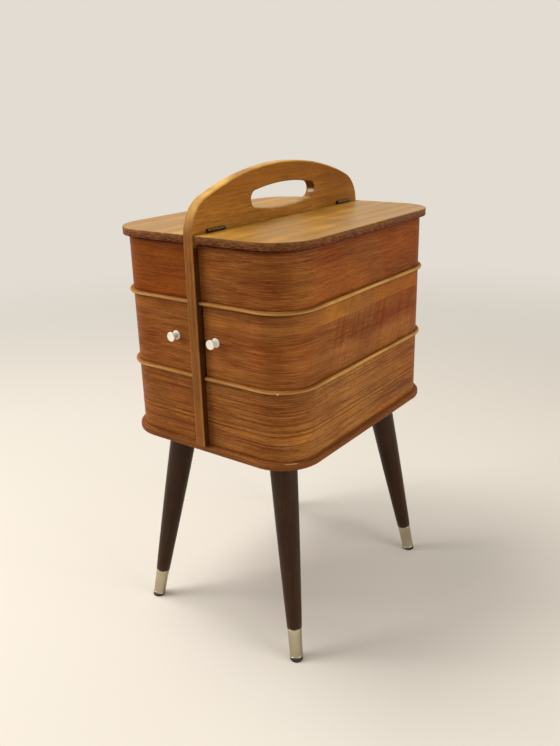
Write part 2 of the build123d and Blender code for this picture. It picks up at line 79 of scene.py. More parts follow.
def gridPiece(name, points, uv, wearAndShade, materials, zones=None, closeRows=True, closeCols=False):
    # A sheet of quads over two parameters: points[i, j] lies at row i and column j.
    # A closed direction joins its last line to its first; lines that shrink to a point become poles.
    rows, cols = points.shape[:2]
    wearAndShade = np.broadcast_to(wearAndShade, (rows, cols)).astype(np.float32)
    i, j = np.meshgrid(np.arange(rows - 1 + closeRows), np.arange(cols - 1 + closeCols), indexing="ij")
    rowOf = np.stack([i, i, i + 1, i + 1], -1).reshape(-1, 4)
    colOf = np.stack([j, j + 1, j + 1, j], -1).reshape(-1, 4)
    faces = rowOf % rows * cols + colOf % cols
    mesh = bpy.data.meshes.new(name)
    mesh.from_pydata(points.reshape(-1, 3).tolist(), [], faces.tolist())
    mesh.uv_layers.new(name="grain").data.foreach_set("uv", uv[rowOf, colOf].astype(np.float32).ravel())
    mesh.attributes.new("wearAndShade", "FLOAT", "POINT").data.foreach_set("value", wearAndShade.ravel())
    for material in materials:
        mesh.materials.append(material)
    if zones is not None:
        mesh.polygons.foreach_set("material_index", zones[i.ravel()].astype(np.int32))
    bm = bmesh.new()
    bm.from_mesh(mesh)
    bmesh.ops.remove_doubles(bm, verts=bm.verts, dist=mergeGap)
    bmesh.ops.dissolve_degenerate(bm, edges=bm.edges, dist=mergeGap)
    bmesh.ops.recalc_face_normals(bm, faces=bm.faces)
    bm.to_mesh(mesh)
    bm.free()
    mesh.polygons.foreach_set("use_smooth", np.ones(len(mesh.polygons), bool))
    piece = bpy.data.objects.new(name, mesh)
    intoScene(piece)
    return piece


def standFor(piece, node):
    # The piece takes a node's place on the node's own body.
    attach(piece, frame["nodes"][node]["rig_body"])
    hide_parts(node)


def uvGrid(u, v):
    # Column parameter u and row parameter v as one grid of pairs.
    return np.stack(np.broadcast_arrays(u[None, :], v[:, None]), -1)


def runLength(points):
    # Distance along a line of points.
    return np.r_[0, np.cumsum(np.linalg.norm(np.diff(points, axis=0), axis=1))]


def sectionLength(section):
    # Distance along a section's own line.
    return runLength(np.stack(section, -1))


def bentPath(inner, outer, half, radius, steps=10, turns=20):
    # Plan line of a bent board: out along the front, round a quarter circle, along the side,
    # round a quarter circle and back along the rear. Each point is a centre plus radius times the
    # normal: on a straight run the centre slides, on a bend the normal turns.
    close, near = 0.002, 0.02  # shares of a straight run at which its first points lie
    run = np.r_[0, close, np.linspace(near, 1 - near, steps), 1 - close]
    turn = np.linspace(0, quarter, turns, endpoint=False)
    reach, side = outer - radius, half - radius
    back = np.r_[run, 1]
    centreX = np.r_[inner + (reach - inner) * run, np.full(turns + run.size + turns, reach),
                    reach + (inner - reach) * back]
    centreY = np.r_[np.full(run.size + turns, -side), side * (2 * run - 1), np.full(turns + back.size, side)]
    angle = np.r_[np.full(run.size, -quarter), turn - quarter, np.zeros(run.size), turn,
                  np.full(back.size, quarter)]
    normal = np.stack([np.cos(angle), np.sin(angle)], -1)
    return np.stack([centreX, centreY], -1) + radius * normal, normal


def boardSection(thick, low, high, ease, easeSteps=5):
    # Cross-section of an upright board, up its outer face and down its inner one, with quarter
    # circles of radius ease at its four edges: inset from the outer face, and height.
    arc = np.linspace(0, quarter, easeSteps)
    start, end = ease * (1 - np.sin(arc)), ease * (1 - np.cos(arc))
    nearEdge = np.array([0.6, 1.5, 3, 6]) * mm
    face = np.r_[low + ease + nearEdge, high - ease - nearEdge[::-1]]
    inset = np.r_[start, 0 * face, end, thick - start, thick + 0 * face, thick - end]
    height = np.r_[low + end, face, high - start, high - end, face[::-1], low + start]
    return inset, height


def rimSection(low, high, lowEase, highEase, shelf):
    # Edge of a lying board, from its underside round to its top, with a flat shelf on either face:
    # inset from the outermost line, and height.
    arc = np.linspace(0, quarter, roundSteps)
    shelves = shelfShares * shelf
    inset = np.r_[lowEase + shelves, lowEase * (1 - np.sin(arc)), highEase * (1 - np.cos(arc)),
                  highEase + shelves[::-1]]
    height = np.r_[low + 0 * shelves, low + lowEase * (1 - np.cos(arc)), high - highEase * (1 - np.sin(arc)),
                   high + 0 * shelves]
    return inset, height


def carry(path, section, side):
    # A section carried along a plan path: point minus inset times normal, at the section's height.
    point, normal = path
    inset, height = (value if value.ndim > 1 else value[:, None] for value in section)
    flat = point[None] - inset[..., None] * normal[None]
    rise = np.broadcast_to(height[..., None], flat.shape[:2] + (1,))
    return np.concatenate([flat, rise], -1) * np.array([side, 1, 1])


def capped(points):
    # Closes both ends of a carried section with a fan to the middle of the end section.
    ends = [np.repeat(points[:, [k]].mean(0, keepdims=True), len(points), 0) for k in (0, -1)]
    return np.concatenate([ends[0], points, ends[1]], 1)


def lathePoints(origin, axis, radius, along, segments):
    # A profile of radius and distance turned about an axis: origin + distance * axis + radius * ring.
    axis = np.array(axis, float) / np.linalg.norm(axis)
    steep = abs(axis[2]) >= 0.5
    across = np.cross(axis, [0.0, 1.0, 0.0] if steep else [0.0, 0.0, 1.0])
    across /= np.linalg.norm(across)
    up = np.cross(axis, across)
    turn = np.linspace(0, 2 * math.pi, segments, endpoint=False)
    ring = np.cos(turn)[:, None] * across + np.sin(turn)[:, None] * up
    return np.array(origin) + along[:, None, None] * axis + radius[:, None, None] * ring[None]


def turnedPiece(name, origin, axis, radius, along, segments, wearAndShade, material, closeRows):
    # A turned profile with its map unrolled: u runs round the widest ring, v along the profile.
    points = lathePoints(origin, axis, radius, along, segments)
    u = np.linspace(0, 2 * math.pi, segments + 1) * radius.max()
    v = runLength(np.stack([radius, along], -1))
    v = np.r_[v, v[-1]] if closeRows else v
    return gridPiece(name, points, uvGrid(u, v), wearAndShade[:, None], [material], None, closeRows, True)


# Tools for materials

smooth = {"interpolation_type": "SMOOTHSTEP"}


def linear(code):
    # sRGB hex to the linear colour that a shader takes, by the standard curve.
    channel = np.array([int(code[k:k + 2], 16) for k in (1, 3, 5)]) / 255
    channel = np.where(channel <= 0.04045, channel / 12.92, ((channel + 0.055) / 1.055) ** 2.4)
    return (*channel.tolist(), 1.0)


def add(tree, kind, links=(), out=0, **settings):
    # Adds one node and returns one of its outputs. links gives its inputs sockets or values, in order or
    # by key, and settings are its own properties. A MapRange takes a value, two levels, and what it
    # gives at each of them.
    node = tree.nodes.new("ShaderNode" + kind)
    for key, value in settings.items():
        setattr(node, key, value)
    for key, value in links.items() if isinstance(links, dict) else enumerate(links):
        if isinstance(value, bpy.types.NodeSocket):
            tree.links.new(value, node.inputs[key])
        else:
            node.inputs[key].default_value = value
    return node.outputs[out]


def newMaterial(name):
    # An empty node material with its surface shader.
    material = bpy.data.materials.new(name)
    material.use_nodes = True
    return material, material.node_tree, material.node_tree.nodes["Principled BSDF"]


def layTints(tree, colour, layers):
    # Tints laid over a colour one after another, each by its own amount.
    for amount, tint in layers:
        colour = add(tree, "Mix", {0: amount, 6: colour, 7: linear(tint)}, 2, data_type="RGBA")
    return colour


def dress(tree, surface, colour, rough, height, relief):
    # Gives the surface its colour, its roughness, and a relief of some strength and depth.
    strength, depth = relief
    bump = add(tree, "Bump", {"Height": height, "Strength": strength, "Distance": depth * mm})
    for socket, value in (("Base Color", colour), ("Roughness", rough), ("Normal", bump)):
        tree.links.new(value, surface.inputs[socket])


# Wood

woodDefaults = {
    "grain": "uv",  # the piece's own map, or object for a board cut from one block
    "turn": (0, 0, 0),  # degrees that lay the grain along the pattern's first axis
    "shift": (0, 0, 0),  # so that no two boards match
    "dark": "#713a14", "mid": "#91531e", "light": "#b27a42", "pore": "#33160a", "rubAndShade": "#b98546",
    "blush": "#742f07",  # a redder, darker cast in large soft blotches
    "figure": (220, 15), "lines": (40, 0.8), "pores": (8, 0.7), "blotch": (95, 38),  # length, width
    "warp": 5,  # how far slow bends push the grain sideways
    "lineAmount": 0.4, "poreAmount": 0.42, "blushAmount": 0.62, "cloudAmount": 0.17, "rubAndShadeAmount": 0.2,
    "depth": 0.05,  # how far the growth lines lighten and darken what lies under them
    "rough": 0.42, "gloss": 0.035,
    "sameBothSides": False,  # marks mirror across the panel
    "patches": (),  # along: middle, half length, soft end; across: the same; tint, strength
    "heights": (),  # from, to, beyond, tint, strength: comes in between two heights, near the ends
    "flame": None,  # width, height, lean; along: middle, half length, soft end; tint, strength
}
woodMarks = {  # noise detail, and the two levels between which a mark comes in
    "figure": (2.0, 0.3, 0.7), "blotch": (2.0, 0.4, 0.7),
    "lines": (3.0, 0.38, 0.68), "pores": (2.0, 0.52, 0.68)}
woodNoise = {"waver": (140, 1.0), "cloud": (55, 3.0), "fleck": (16, 4.0)}  # size and detail
woodLevels = {
    "breaks": (0.35, 0.6, 0.45),  # from, to, and the share of a patch that shows everywhere
    "lick": (0.38, 0.66), "age": (0.25, 0.75), "sheen": (0.3, 0.7),  # from, to
    "rubAndShade": (0.3, 0.7, 0.5),  # from, to, and the least rub
    "smoother": 0.06, "rougher": 0.08,  # either side of the given roughness
    "heightEnd": 2, "poreRelief": -0.6,
    "relief": (0.25, 0.15)}  # strength, and depth
everywhere = (0, 9000, 1)  # middle, half length and soft end of a patch that runs right across a board
boardGrain = {"grain": "object", "turn": (0, 0, -90)}  # runs from front to rear


def layGrain(tree, look):
    # Places along, across and up the grain: the flat place plus a shift, the same pushed sideways by
    # noise less a half times warp, and the flat place with that push alone, for listed marks.
    if look["grain"] == "uv":
        place = add(tree, "UVMap", uv_map="grain")
    else:
        place = add(tree, "TexCoord", out="Object")
    turn = [math.radians(angle) for angle in look["turn"]]
    flat = add(tree, "Mapping", {"Vector": place, "Rotation": turn})
    laid = add(tree, "VectorMath", (flat, [step * mm for step in look["shift"]]), operation="ADD")
    size, detail = woodNoise["waver"]
    push = add(tree, "TexNoise", {"Vector": laid, "Scale": 1 / (size * mm), "Detail": detail})
    push = add(tree, "Math", (push, 0.5), operation="SUBTRACT")
    push = add(tree, "Math", (push, look["warp"] * mm), operation="MULTIPLY")
    push = add(tree, "CombineXYZ", {1: push, 2: push})
    warped, spot = (add(tree, "VectorMath", (start, push), operation="ADD") for start in (laid, flat))
    return laid, warped, spot


def grainMarks(tree, look, laid, warped):
    # Each kind of mark is noise on the place divided by the mark's length and width, and comes in
    # smoothly between its two levels. Blotches lie straight, the others follow the wavering grain.
    marks = {}
    for mark, (detail, low, high) in woodMarks.items():
        length, width = (size * mm for size in look[mark])
        source = laid if mark == "blotch" else warped
        drawn = add(tree, "VectorMath", (source, (1 / length, 1 / width, 1 / width)), operation="MULTIPLY")
        noise = add(tree, "TexNoise", {"Vector": drawn, "Scale": 1.0, "Detail": detail})
        marks[mark] = add(tree, "MapRange", (noise, low, high), **smooth)
    return marks


def stretch(tree, axis, middle, half, soft, **fall):
    # One within half a length of the middle, falling to nothing over the soft end.
    away = add(tree, "Math", (axis, middle * mm), operation="SUBTRACT")
    away = add(tree, "Math", (away,), operation="ABSOLUTE")
    return add(tree, "MapRange", (away, (half + soft) * mm, half * mm), **fall)


def flameLayers(tree, look, along, across, broken):
    # Upright licks in one stretch of the board: noise on along less lean times across, between two levels.
    if not look["flame"]:
        return []
    width, tall, lean, middle, half, soft, tint, strength = look["flame"]
    slid = add(tree, "Math", (across, -lean, along), operation="MULTIPLY_ADD")
    drawn = add(tree, "CombineXYZ", (slid, across))
    drawn = add(tree, "VectorMath", (drawn, (1 / (width * mm), 1 / (tall * mm), 0)), operation="MULTIPLY")
    noise = add(tree, "TexNoise", {"Vector": drawn, "Scale": 1.0, "Detail": 1.0})
    lick = add(tree, "MapRange", (noise, *woodLevels["lick"], 0, strength), **smooth)
    for share in (stretch(tree, along, middle, half, soft), broken):
        lick = add(tree, "Math", (lick, share), operation="MULTIPLY")
    return [(lick, tint)]


def patchLayers(tree, look, along, across, broken):
    # Listed marks: a stretch along times a stretch across times strength, broken up by the clouds.
    layers = []
    for *extents, tint, strength in look["patches"]:
        inside = add(tree, "Math", (broken, strength), operation="MULTIPLY")
        for axis, extent in ((along, extents[:3]), (across, extents[3:])):
            near = stretch(tree, axis, *extent, **smooth)
            inside = add(tree, "Math", (near, inside), operation="MULTIPLY")
        layers.append((inside, tint))
    return layers


def heightLayers(tree, look, along, height):
    # A tint that comes in smoothly from one height to another, past a distance from the board's middle.
    layers = []
    for begin, end, beyond, tint, strength in look["heights"]:
        inside = add(tree, "MapRange", (height, begin * mm, end * mm, 0, strength), **smooth)
        away = add(tree, "Math", (along,), operation="ABSOLUTE")
        far = add(tree, "MapRange", (away, (beyond - woodLevels["heightEnd"]) * mm, beyond * mm))
        layers.append((add(tree, "Math", (inside, far), operation="MULTIPLY"), tint))
    return layers


def rubAndShadeMask(tree, look, fleck):
    # How far an edge shows the rub colour, worn on most pieces and painted shade with grime on the bent
    # walls:
    # the piece's wear times flecks times the rub amount.
    low, high, least = woodLevels["rubAndShade"]
    wornAndShaded = add(tree, "Attribute", out="Fac", attribute_name="wearAndShade")
    fleck = add(tree, "MapRange", (fleck, low, high, least, look["rubAndShadeAmount"] + least))
    wornAndShaded = add(tree, "Math", (wornAndShaded, fleck), operation="MULTIPLY")
    return add(tree, "Math", (wornAndShaded, look["rubAndShadeAmount"]), operation="MULTIPLY", use_clamp=True)


def sawnWood(name, recipe):
    # Sliced or sawn wood under a thin satin finish: drawn-out figure, finer growth lines, short dark
    # pores, cloudy ageing and a rub along worn edges, which on the bent walls is painted shade with grime.
    # Pores are drawn coarser than real ones to show.
    look = {**woodDefaults, **recipe}
    material, tree, surface = newMaterial(name)
    laid, warped, spot = layGrain(tree, look)
    marks = grainMarks(tree, look, laid, warped)
    cloud, fleck = (add(tree, "TexNoise", {"Vector": laid, "Scale": 1 / (size * mm), "Detail": detail})
                    for size, detail in (woodNoise["cloud"], woodNoise["fleck"]))
    broken = add(tree, "MapRange", (cloud, *woodLevels["breaks"]), **smooth)
    along, across, height = add(tree, "SeparateXYZ", (spot,)).node.outputs
    if look["sameBothSides"]:
        across = add(tree, "Math", (across,), operation="ABSOLUTE")
    amounts = (("blotch", "blushAmount"), ("lines", "lineAmount"), ("pores", "poreAmount"))
    blush, lines, pores = (add(tree, "Math", (marks[mark], look[amount]), operation="MULTIPLY")
                           for mark, amount in amounts)
    colour = layTints(tree, linear(look["dark"]), [
        (marks["figure"], look["mid"]), (blush, look["blush"]), (lines, look["light"]),
        *flameLayers(tree, look, along, across, broken), *patchLayers(tree, look, along, across, broken),
        *heightLayers(tree, look, along, height), (pores, look["pore"])])
    # Clouds and growth lines lighten and darken the whole, and the rub lies on top; on the bent walls it is
    # painted shade with grime.
    fade, ridge = look["cloudAmount"], look["depth"]
    age = add(tree, "MapRange", (cloud, *woodLevels["age"], 1 - fade, 1 + fade))
    grown = add(tree, "MapRange", (marks["lines"], 0, 1, 1 - ridge, 1 + ridge))
    age = add(tree, "Math", (age, grown), operation="MULTIPLY")
    colour = add(tree, "HueSaturation", {"Value": age, "Color": colour})
    colour = layTints(tree, colour, [(rubAndShadeMask(tree, look, fleck), look["rubAndShade"])])
    rough = add(tree, "MapRange", (cloud, *woodLevels["sheen"], look["rough"] - woodLevels["smoother"],
                                   look["rough"] + woodLevels["rougher"]))
    height = add(tree, "Math", (marks["pores"], woodLevels["poreRelief"], marks["lines"]),
                 operation="MULTIPLY_ADD")
    dress(tree, surface, colour, rough, height, woodLevels["relief"])
    surface.inputs["Specular IOR Level"].default_value = look["gloss"]
    return material


# Metal and plastic

finishLevels = {"blend": (0.35, 0.65), "sheen": (0.3, 0.7), "detail": 4.0, "relief": (0.1, 0.05)}


def plainFinish(name, look):
    # Metal or plastic: two near tones blended by noise of the mottle's size, which also varies the gloss.
    material, tree, surface = newMaterial(name)
    place = add(tree, "TexCoord", out="Object")
    mottle = add(tree, "TexNoise", {"Vector": place, "Scale": 1 / (look["mottle"] * mm),
                                    "Detail": finishLevels["detail"]})
    blend = add(tree, "MapRange", (mottle, *finishLevels["blend"]))
    colour = layTints(tree, linear(look["dark"]), [(blend, look["light"])])
    rough = add(tree, "MapRange", (mottle, *finishLevels["sheen"], *look["rough"]))
    dress(tree, surface, colour, rough, mottle, finishLevels["relief"])
    surface.inputs["Metallic"].default_value = look["metal"]
    return material


# Bent walls of the three tiers

# The dark along the walls' upper and lower edges is painted shade with grime, where they meet beads, lids and
# base.
walls = {"radius": 50, "thick": 6, "ease": 0.7, "grimeAndShade": "#3a1806", "grimeAndShadeReach": 2.5, "grimeAndShadeAmount": 0.5,
         "underside": 1}  # length of the lower edge on the grain map

# Sliced teak veneer: warm brown with soft figure, and painted shade with grime along its edges. The right
# side is redder on the two upper tiers, and the bottom tier is streaked along its length.
streak, flare, streakSoft = "#552508", "#b06d28", 0.8
underLid = ((*everywhere, 71, 3, 10, "#45190a", 0.55),  # painted shadow line close under the lid
            (*everywhere, 71, 1.6, 2.2, "#260d05", 0.8))  # line of grime
bottomStreaks = tuple((*everywhere, at, half, streakSoft, tint, strength) for at, half, tint, strength in (
    (12, 0.2, streak, 0.5), (22, 0.3, streak, 0.6), (31, 0.6, flare, 0.4), (34, 0.4, streak, 0.7),
    (37, 0.7, flare, 0.5), (40, 0.4, streak, 0.7), (44, 0.5, flare, 0.35), (50, 0.3, streak, 0.6),
    (63, 0.2, streak, 0.6), (73, 0.3, streak, 0.65), (82, 0.2, streak, 0.6)))
bottomGrain = {"lines": (60, 0.9), "pores": (9, 0.8), "warp": 3, "lineAmount": 0.36, "poreAmount": 0.52,
               "dark": "#743c16", "blushAmount": 0.5, "depth": 0.08, "patches": bottomStreaks}
wallLooks = {
    "top_right": {"shift": (110, 40, 0), "depth": 0.1, "patches": underLid + (
        (100, 18, 40, 40, 4, 24, "#56260a", 0.45),  # darker where the bend starts: painted shade with a dark smear in the veneer
        (310, 120, 50, 35, 35, 3, "#7a2e02", 0.48),  # red cast along the side
        (225, 60, 60, 20, 12, 20, "#a8642a", 0.34))},  # paler low down
    "top_left": {"shift": (530, 90, 0), "dark": "#75370e", "mid": "#8a4511", "light": "#a35f22",
                 "figure": (200, 7), "patches": underLid},
    "middle_right": {
        "shift": (900, 10, 0), "dark": "#763e17", "mid": "#985924", "poreAmount": 0.32,
        "flame": (3.4, 75, 0.35, 330, 90, 80, "#652c09", 0.8),
        "patches": ((310, 105, 45, 81, 10.5, 1.5, "#b4742b", 0.62),  # pale strip along the top
                    (310, 105, 45, 69.8, 0.3, 0.8, "#5a2608", 0.6),  # its lower line
                    (410, 60, 90, 46, 46, 3, "#7a2e02", 0.4),  # red cast towards the rear
                    (320, 90, 60, 14, 12, 16, "#bd8044", 0.28))},  # paler low down
    "middle_left": {"shift": (1300, 60, 0), "poreAmount": 0.32},
    "bottom_right": {"shift": (1700, 20, 0), **bottomGrain, "dark": "#763f18", "mid": "#955823",
                     "light": "#bd8549",
                     "patches": ((225, 60, 60, 45, 45, 3, "#bd8848", 0.25),) + bottomStreaks},
    "bottom_left": {"shift": (2100, 70, 0), **bottomGrain},
}


def bentWall(node, half, look):
    # The upright section is carried round the plan path. The grain map runs along the path and round
    # the section, and the painted shade with grime fades with the distance from the upper and lower edges.
    low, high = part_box(node)
    inner, outer = sorted((abs(low.x), abs(high.x)))
    path = bentPath(inner, outer, high.y, walls["radius"] * mm)
    section = boardSection(walls["thick"] * mm, low.z, high.z, walls["ease"] * mm)
    points = capped(carry(path, section, halves[half]))
    u = runLength(path[0])
    v = sectionLength(section)
    gap = np.minimum(section[1] - low.z, high.z - section[1])
    wearAndShade = np.exp(-gap / (walls["grimeAndShadeReach"] * mm))[:, None]
    uv = uvGrid(np.r_[u[0], u, u[-1]], np.r_[v, v[-1] + walls["underside"] * mm])
    # Its rub is painted shade with grime along the upper and lower edges.
    veneer = sawnWood("teakVeneerBent_" + look, {"rubAndShade": walls["grimeAndShade"], "rubAndShadeAmount": walls["grimeAndShadeAmount"],
                                                 **wallLooks[look]})
    standFor(gridPiece("bent_" + node, points, uv, wearAndShade, [veneer]), node)


tiers = {"bottom": "bottom_box_wall_", "middle": "middle_tray_wall_", "top": "top_tray_wall_"}
for half in halves:
    for tier, stem in tiers.items():
        bentWall(stem + half, half, tier + "_" + half)
print("walls bent")


# Tray floors, whose edges show as beads, and lids

floors = {"radius": 55, "underEase": 2.2, "topEase": 2.2, "shelf": 5, "rubReach": 3, "steps": 10,
          "nicked": "middle_tray_floor_right"}
lids = {"radius": 58, "underEase": 0.8, "topEase": 1.0, "shelf": 5, "rubReach": 1.0, "steps": 90,
        "chips": {"left": ((34, 2.5, 0.6), (52, 1.8, 0.4), (78, 3, 0.6), (96, 2, 0.4))}}  # at, width, depth
chipping = {"reach": 1.2, "inward": 0.8, "rubAndShade": 0.4}  # fade below the top, share inwards, rub for each mm
ruledRows, ruledShare = 2, 0.004  # rows of a ruled face, and the second one's place by its straight end

# Rounded solid teak: paler than the walls, with a painted highlight along the middle, painted shade below and
# painted shade with grime at the joint.
beadLook = {"dark": "#8e521c", "mid": "#a66a2a", "light": "#c8934c", "rubAndShade": "#dcb06c", "lines": (120, 0.7),
            "blushAmount": 0.2, "poreAmount": 0.3}
beadMarks = (
    (*everywhere, 6.2, 1.6, 1.4, "#552a0c", 0.9),  # shade on the lower round
    (*everywhere, 8.7, 0.8, 0.9, "#d9ab66", 0.5),  # painted highlight line
    (330, 100, 70, 12, 4, 2, "#c8954e", 0.55),  # bright along the side
    (70, 70, 60, 13.2, 3.2, 1.2, "#7c3f18", 0.8),  # darker over the upper round along the front
    (*everywhere, 16.0, 0.9, 0.9, "#3a1a08", 0.95))  # painted shade with grime in the joint under the wall above
beadNick = (110.5, 0.6, 0.9, 7.4, 1.2, 0.8, "#e6d6b4", 0.95)  # fresh pale wood in a small nick
beadTeak = sawnWood("teakBeadRounded", {**beadLook, "patches": beadMarks})
beadNicked = sawnWood("teakBeadNicked", {**beadLook, "patches": beadMarks + (beadNick,)})

# Sanded plywood with teak faces: an even brown with straight grain.
floorPly = sawnWood("teakFacedPlyFloor", {
    **boardGrain, "dark": "#834c18", "mid": "#9a5f22", "light": "#b07630"})

# Oiled teak veneer: golden, with long straight stripes that match on both lids and a soft sheen.
lidVeneer = sawnWood("teakVeneerLidOiled", {
    **boardGrain, "sameBothSides": True, "rough": 0.36, "gloss": 0.26,
    "dark": "#906323", "mid": "#a6762c", "light": "#c09446", "pore": "#7a4e18", "rubAndShade": "#d8b070",
    "blush": "#8f5e18", "figure": (700, 9), "lines": (220, 0.9), "pores": (30, 0.6), "poreAmount": 0.4,
    "patches": (
        # The pale gold stripe beside the panel, at 22, is a painted sheen band laid on a pale stripe of the
        # veneer.
        (*everywhere, 22, 5, 9, "#d29a3c", 0.7), (*everywhere, 44, 0.5, 2, "#8a5a18", 0.4),
        (*everywhere, 58, 1.5, 5, "#bf8722", 0.5), (*everywhere, 88, 0.8, 3, "#8a5a18", 0.45),
        (*everywhere, 112, 2, 6, "#c48e2e", 0.45))})

# Glued teak band: a dark red-brown edge with short grain, rubbed pale where it is chipped.
lidBand = sawnWood("teakBandLidEdge", {
    "dark": "#441b0a", "mid": "#572610", "light": "#985d34", "pore": "#200a04", "rubAndShade": "#d6a863",
    "blush": "#4e220c", "figure": (60, 4), "lines": (6, 1.0), "pores": (3, 0.9), "lineAmount": 0.55,
    "poreAmount": 0.7, "rubAndShadeAmount": 0.42})


def halfBoard(name, node, half, look, materials):
    # A lying half board: its rim section is carried round the plan path, and both faces are ruled
    # from the rim to a straight line beside the panel, shared out by length along the path. A chip is
    # a bell-shaped dent, deepest at the top edge.
    low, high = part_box(node)
    inner, outer = sorted((abs(low.x), abs(high.x)))
    section = rimSection(low.z, high.z, *(look[key] * mm for key in ("underEase", "topEase", "shelf")))
    path = bentPath(inner, outer, high.y, look["radius"] * mm, look["steps"])
    u = runLength(path[0])
    inset, height = (value[:, None] + 0 * u[None] for value in section)
    topGap = section[1].max() - section[1] + np.maximum(section[0] - look["topEase"] * mm, 0)
    dent = np.exp(-topGap / (chipping["reach"] * mm))[:, None]
    chip = 0 * u
    for at, width, deep in look.get("chips", {}).get(half, ()):
        chip = chip + deep * mm * np.exp(-((u - at * mm) / (width * mm)) ** 2)
    rim = carry(path, (inset + chipping["inward"] * dent * chip[None], height - dent * chip[None]), 1)
    share = 2 * u / u[-1] - 1
    spine = [np.stack([0 * u + inner, share * (high.y - section[0][k]), 0 * u + section[1][k]], -1)
             for k in (0, -1)]
    under = [spine[0] + (rim[0] - spine[0]) * t for t in (0, ruledShare)]
    over = [spine[1] + (rim[-1] - spine[1]) * t for t in (ruledShare, 0)]
    points = capped(np.concatenate([under, rim, over], 0) * np.array([halves[half], 1, 1]))
    v = sectionLength(section)
    v = np.r_[np.zeros(ruledRows), v, np.full(ruledRows + 1, v[-1])]
    zones = np.zeros(len(points), int)
    zones[ruledRows + shelfRows:-(ruledRows + shelfRows + 1)] = 1  # the rounded edge
    rubAndShade = np.exp(-topGap / (look["rubReach"] * mm))[:, None] * (1 + chipping["rubAndShade"] * chip[None] / mm)
    wearAndShade = np.pad(rubAndShade, ((ruledRows, ruledRows), (1, 1)))
    uv = uvGrid(np.r_[u[0], u, u[-1]], v)
    standFor(gridPiece(name, points, uv, wearAndShade, materials, zones), node)


for half in halves:
    for tier in ("middle", "top"):
        node = tier + "_tray_floor_" + half
        bead = beadNicked if node == floors["nicked"] else beadTeak
        halfBoard("beaded_" + node, node, half, floors, [floorPly, bead])
    node = "lid_" + half
    halfBoard("veneered_" + node, node, half, lids, [lidVeneer, lidBand])
print("floors and lids laid")


# Base board

base = {"radius": 56.5, "ease": 3.5, "shelf": 8, "screwLift": 0.08}  # screwLift lets the screw heads show

# Solid teak, rounded: darker than the walls, with a dark line above, painted shade with grime where the wall
# stands, and two pale scrapes.
baseEdge = sawnWood("teakBaseEdge", {
    "dark": "#633212", "mid": "#7a441b", "light": "#97602f", "rubAndShade": "#a87440", "rubAndShadeAmount": 0.12,
    "blush": "#5a280e", "patches": (
        (*everywhere, 23.4, 1.3, 1.5, "#3a1407", 0.95),  # painted shade with grime under the wall
        (136, 5, 6, 20, 0.3, 1.0, "#d8b98c", 0.6),  # two scrapes
        (60, 15, 20, 19, 0.3, 1.0, "#a8743c", 0.5))})

# Planed teak: the plain brown of the underside.
baseFace = sawnWood("teakBaseFace", boardGrain)


def baseBoard():
    # Closed plan path of two mirrored halves; both faces run in from the rim to a middle point.
    low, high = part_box("base_board")
    point, normal = bentPath(0, high.x, high.y, base["radius"] * mm)
    flip = np.array([-1, 1])
    path = (np.r_[point, point[-2:0:-1] * flip], np.r_[normal, normal[-2:0:-1] * flip])
    under = low.z + base["screwLift"] * mm
    section = rimSection(under, high.z, base["ease"] * mm, base["ease"] * mm, base["shelf"] * mm)
    rim = carry(path, section, 1)
    middle = [np.broadcast_to(np.array([0, 0, height]), rim[:1].shape) for height in (under, high.z)]
    points = np.concatenate([middle[0], rim, middle[1]], 0)
    u = runLength(np.r_[path[0], path[0][:1]])
    v = sectionLength(section)
    v = np.r_[0, v, v[-1]]
    zones = np.zeros(len(points), int)
    zones[shelfRows:-(shelfRows + 2)] = 1  # the rounded edge
    wornAndShaded = np.zeros(len(points))
    wornAndShaded[shelfRows:-shelfRows] = 1
    piece = gridPiece("rounded_base_board", points, uvGrid(u, v), wornAndShaded[:, None], [baseFace, baseEdge], zones,
                      False, True)
    standFor(piece, "base_board")


baseBoard()
print("base board laid")


# Centre panel with its handle hole

panel = {"crownRadius": 446, "shoulderRadius": 48, "ease": 2, "holeLength": 146, "holeHeight": 32.5,
         "holeEndRadius": 11, "holeBelowCrown": 43.25, "holeEase": 1,
         "holeMap": 100,  # moves the hole wall to its own part of the grain map
         "flatWear": 0.1, "shoulderSteps": 64, "crownSteps": 48, "bottomSteps": 20, "holeSamples": 200}
sideShares = np.r_[0, 0.003, np.linspace(0.02, 0.85, 18), np.linspace(0.86, 1, 22)]  # finer at the top
besideHole = np.array([0.5, 2, 5]) * mm  # rows on a side, outside the rounding of the hole
besideEdge = np.array([6, 2, 0.5]) * mm  # and inside the rounding of the outer edge

# Polished teak veneer: even and paler than the walls, redder towards the crown, with painted shade on its
# sides beside the walls.
panelVeneer = sawnWood("teakVeneerPanel", {
    **boardGrain, "dark": "#935c22", "mid": "#aa712c", "light": "#c18b42",
    "pore": "#5a330c", "blush": "#84500f", "figure": (300, 6), "lines": (60, 0.9), "warp": 12,
    "cloudAmount": 0.13, "poreAmount": 0.22, "depth": 0.02,
    # The first height band is painted shade on the sides beside the walls.
    "heights": ((566, 556, 178, "#34120a", 0.9), (592, 628, 0, "#83450e", 0.5)),
    "patches": ((140, 25, 50, *everywhere, "#6a380e", 0.5),)})

# Rubbed teak edge: pale over the crown, where a painted highlight lies on the rubbing; a painted highlight
# along the lower hole wall and painted shade at one end of the hole.
holeRow = panel["holeMap"]
panelEdge = sawnWood("teakPanelEdge", {
    "dark": "#75441b", "mid": "#8a5425", "light": "#a66e38", "rubAndShade": "#c89456", "rubAndShadeAmount": 0.45,
    "blush": "#6b3a12", "figure": (400, 4), "lines": (120, 0.6), "poreAmount": 0.25,
    "patches": (
        (495, 170, 60, 0, 20, 1, "#cfa256", 0.9),  # pale crown: painted highlight with rubbing
        (334, 16, 18, holeRow, 8, 2, "#3a1405", 0.95),  # painted shade at the rear end of the hole
        (137, 130, 12, holeRow, 8, 2, "#c9a064", 0.6),  # painted highlight on the lower hole wall, in two runs
        (1030, 325, 12, holeRow, 8, 2, "#c9a064", 0.6),
        (297, 2, 8, holeRow + 1, 3, 4, "#dccbae", 0.8))})  # pale fleck


